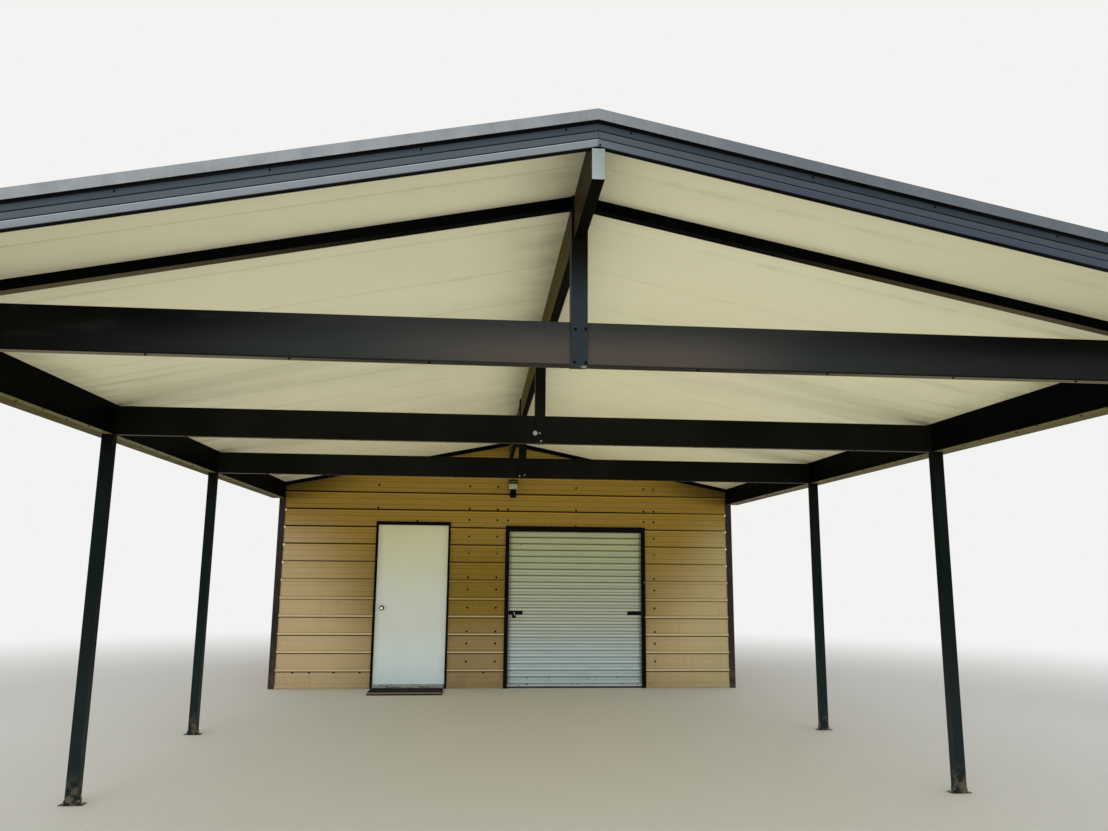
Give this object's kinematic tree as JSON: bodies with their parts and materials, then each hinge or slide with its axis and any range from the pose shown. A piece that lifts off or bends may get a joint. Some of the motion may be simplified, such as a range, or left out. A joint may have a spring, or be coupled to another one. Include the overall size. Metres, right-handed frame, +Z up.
{
  "type": "carport with attached shed",
  "caption": "Open gabled carport on square posts with trussed tie beams and an insulated panel roof, built on to the front of a small steel shed with a walk-in door and a roll-up door.",
  "frame": {"origin": "on the floor under the middle of the whole building's box", "axes": "+Z up, +Y from the open front of the carport to the back of the shed, +X to the right across the span"},
  "size_m": [6.326, 12.312, 3.3538],
  "materials": {
    "frame_paint": "dark bronze baked paint, satin",
    "panel_paint": "ivory baked paint, satin",
    "fascia_paint": "dark bronze baked paint, weathered grey",
    "edge_metal": "dull weathered sheet",
    "gutter_paint": "bronze baked paint, satin",
    "siding_paint": "tan baked paint on ribbed sheet, satin",
    "trim_paint": "dark brown baked paint",
    "roof_paint": "brown baked paint on ribbed sheet",
    "door_paint": "white paint, satin",
    "hardware_steel": "brushed",
    "shutter_paint": "off-white baked paint, satin",
    "rubber_seal": "matt",
    "black_iron": "black",
    "lamp_black": "black, satin",
    "lamp_glass": "frosted",
    "step_board": "weathered dark brown"
  },
  "bodies": {
    "building": {"corner_trim_back_left": "trim_paint", "corner_trim_back_right": "trim_paint", "corner_trim_front_left": "trim_paint", "corner_trim_front_right": "trim_paint", "door_frame": "trim_paint", "door_hinge_pins": "hardware_steel", "door_step": "step_board", "eave_beam_left": "frame_paint", "eave_beam_right": "frame_paint", "front_rafter_left": "frame_paint", "front_rafter_right": "frame_paint", "front_wall_left": "siding_paint", "front_wall_middle": "siding_paint", "front_wall_over_door": "siding_paint", "front_wall_over_shutter": "siding_paint", "front_wall_right": "siding_paint", "gutter_left": "gutter_paint", "gutter_right": "gutter_paint", "king_post_front": "frame_paint", "king_post_middle": "frame_paint", "king_post_rear": "frame_paint", "post_left_front": "frame_paint", "post_left_middle": "frame_paint", "post_left_rear": "frame_paint", "post_right_front": "frame_paint", "post_right_middle": "frame_paint", "post_right_rear": "frame_paint", "rake_fascia_left": "fascia_paint", "rake_fascia_right": "fascia_paint", "ridge_beam": "frame_paint", "ridge_cap": "edge_metal", "roof_edge_trim_left": "edge_metal", "roof_edge_trim_right": "edge_metal", "roof_panels_left": "panel_paint", "roof_panels_right": "panel_paint", "shed_back_wall": "siding_paint", "shed_eave_trim_left": "trim_paint", "shed_eave_trim_right": "trim_paint", "shed_rake_trim_left": "trim_paint", "shed_rake_trim_right": "trim_paint", "shed_roof_left": "roof_paint", "shed_roof_right": "roof_paint", "shed_side_wall_left": "siding_paint", "shed_side_wall_right": "siding_paint", "shutter_bottom_bar": "rubber_seal", "shutter_coil": "shutter_paint", "shutter_curtain": "shutter_paint", "shutter_frame": "trim_paint", "shutter_latches": "black_iron", "tie_beam_front": "frame_paint", "tie_beam_middle": "frame_paint", "tie_beam_rear": "frame_paint", "wall_lamp_body": "lamp_black", "wall_lamp_glass": "lamp_glass", "wall_rafter_left": "frame_paint", "wall_rafter_right": "frame_paint"},
    "door": {"door_leaf": "door_paint", "door_knob": "hardware_steel", "door_hinge_plates": "hardware_steel"}
  },
  "joints": [
    {"name": "door_hinge", "type": "hinge", "parent": "building", "child": "door", "pos_m": [-0.8145, 2.529, 1], "axis": [0, 0, -1], "range_deg": [0, 95]}
  ]
}
